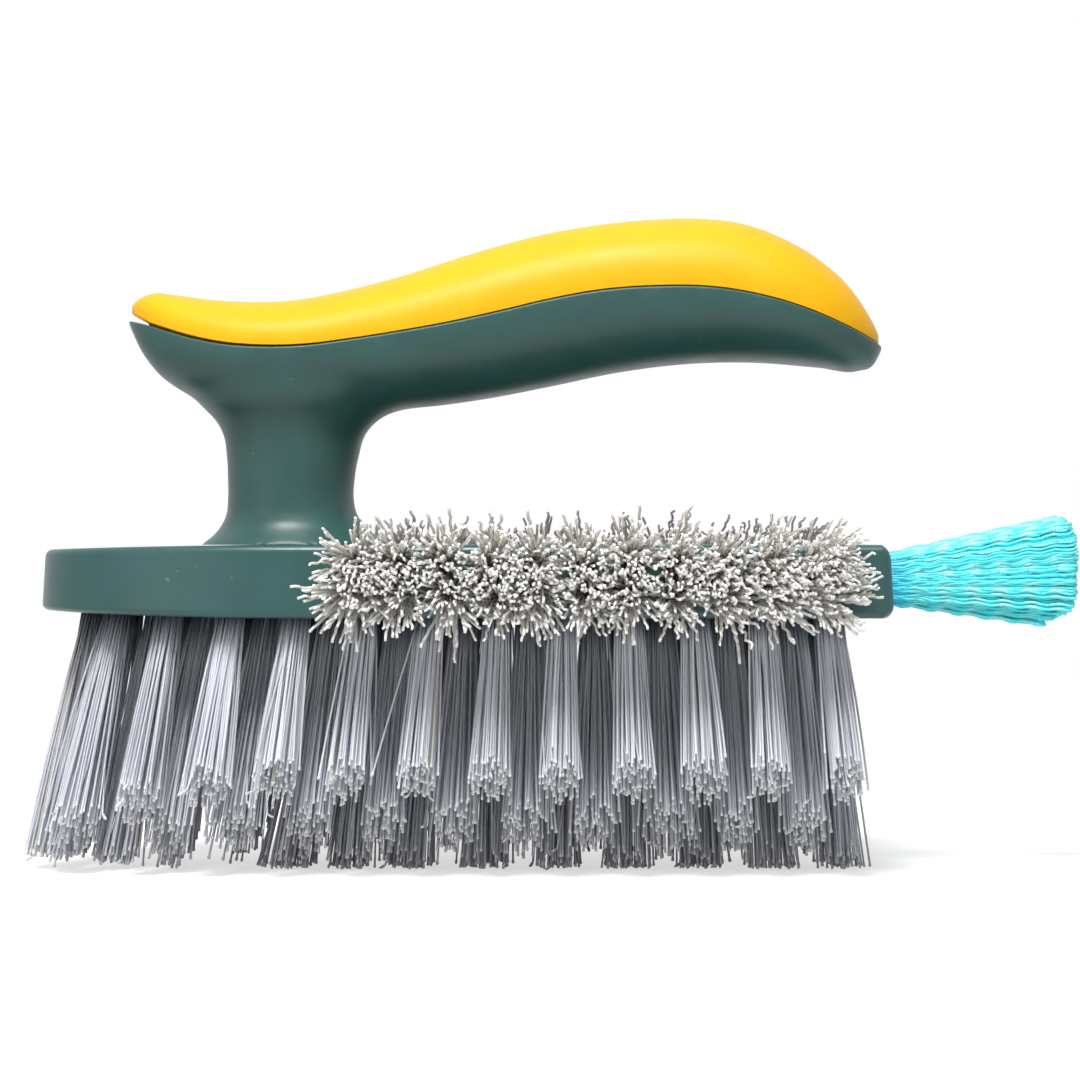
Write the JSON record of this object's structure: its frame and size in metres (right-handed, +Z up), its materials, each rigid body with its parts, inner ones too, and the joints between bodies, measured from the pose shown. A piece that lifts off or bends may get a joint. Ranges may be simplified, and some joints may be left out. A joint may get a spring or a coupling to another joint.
{
  "type": "scrub brush",
  "caption": "Hand scrub brush: raised grip on a neck over a nosed block, with straight bristles below, crimped bristles along both sides and a flat crevice tuft at the rear.",
  "frame": {"origin": "centre of the overall length and width, on the surface that the middle bristle tips stand on", "axes": "+X along the brush from the rounded nose to the crevice tuft, +Y to the left side, +Z up from the bristle tips to the grip"},
  "size_m": [0.1788, 0.0738, 0.1103],
  "materials": {
    "block": "dark green moulded plastic, satin, with fine mould texture",
    "handle": "dark green moulded plastic, satin",
    "cover": "yellow moulded plastic, satin",
    "screw": "zinc-plated steel",
    "bottom_bristle": "blue-grey straight filament, cut ends paler",
    "side_bristle": "off-white crimped filament",
    "crevice_bristle": "light blue fine crimped filament"
  },
  "bodies": {
    "root": {"brush_block": "block", "centre_tuft_01": "bottom_bristle", "centre_tuft_02": "bottom_bristle", "centre_tuft_03": "bottom_bristle", "centre_tuft_04": "bottom_bristle", "centre_tuft_05": "bottom_bristle", "centre_tuft_06": "bottom_bristle", "centre_tuft_07": "bottom_bristle", "centre_tuft_08": "bottom_bristle", "crevice_bristles": "crevice_bristle", "grip_cover": "cover", "handle_screw": "screw", "handle_shell": "handle", "inner_tuft_left_01": "bottom_bristle", "inner_tuft_left_02": "bottom_bristle", "inner_tuft_left_03": "bottom_bristle", "inner_tuft_left_04": "bottom_bristle", "inner_tuft_left_05": "bottom_bristle", "inner_tuft_left_06": "bottom_bristle", "inner_tuft_left_07": "bottom_bristle", "inner_tuft_left_08": "bottom_bristle", "inner_tuft_left_09": "bottom_bristle", "inner_tuft_left_10": "bottom_bristle", "inner_tuft_right_01": "bottom_bristle", "inner_tuft_right_02": "bottom_bristle", "inner_tuft_right_03": "bottom_bristle", "inner_tuft_right_04": "bottom_bristle", "inner_tuft_right_05": "bottom_bristle", "inner_tuft_right_06": "bottom_bristle", "inner_tuft_right_07": "bottom_bristle", "inner_tuft_right_08": "bottom_bristle", "inner_tuft_right_09": "bottom_bristle", "inner_tuft_right_10": "bottom_bristle", "outer_tuft_left_01": "bottom_bristle", "outer_tuft_left_02": "bottom_bristle", "outer_tuft_left_03": "bottom_bristle", "outer_tuft_left_04": "bottom_bristle", "outer_tuft_left_05": "bottom_bristle", "outer_tuft_left_06": "bottom_bristle", "outer_tuft_left_07": "bottom_bristle", "outer_tuft_left_08": "bottom_bristle", "outer_tuft_left_09": "bottom_bristle", "outer_tuft_left_10": "bottom_bristle", "outer_tuft_left_11": "bottom_bristle", "outer_tuft_left_12": "bottom_bristle", "outer_tuft_nose": "bottom_bristle", "outer_tuft_right_01": "bottom_bristle", "outer_tuft_right_02": "bottom_bristle", "outer_tuft_right_03": "bottom_bristle", "outer_tuft_right_04": "bottom_bristle", "outer_tuft_right_05": "bottom_bristle", "outer_tuft_right_06": "bottom_bristle", "outer_tuft_right_07": "bottom_bristle", "outer_tuft_right_08": "bottom_bristle", "outer_tuft_right_09": "bottom_bristle", "outer_tuft_right_10": "bottom_bristle", "outer_tuft_right_11": "bottom_bristle", "outer_tuft_right_12": "bottom_bristle", "side_bristles_left": "side_bristle", "side_bristles_right": "side_bristle"}
  },
  "joints": []
}
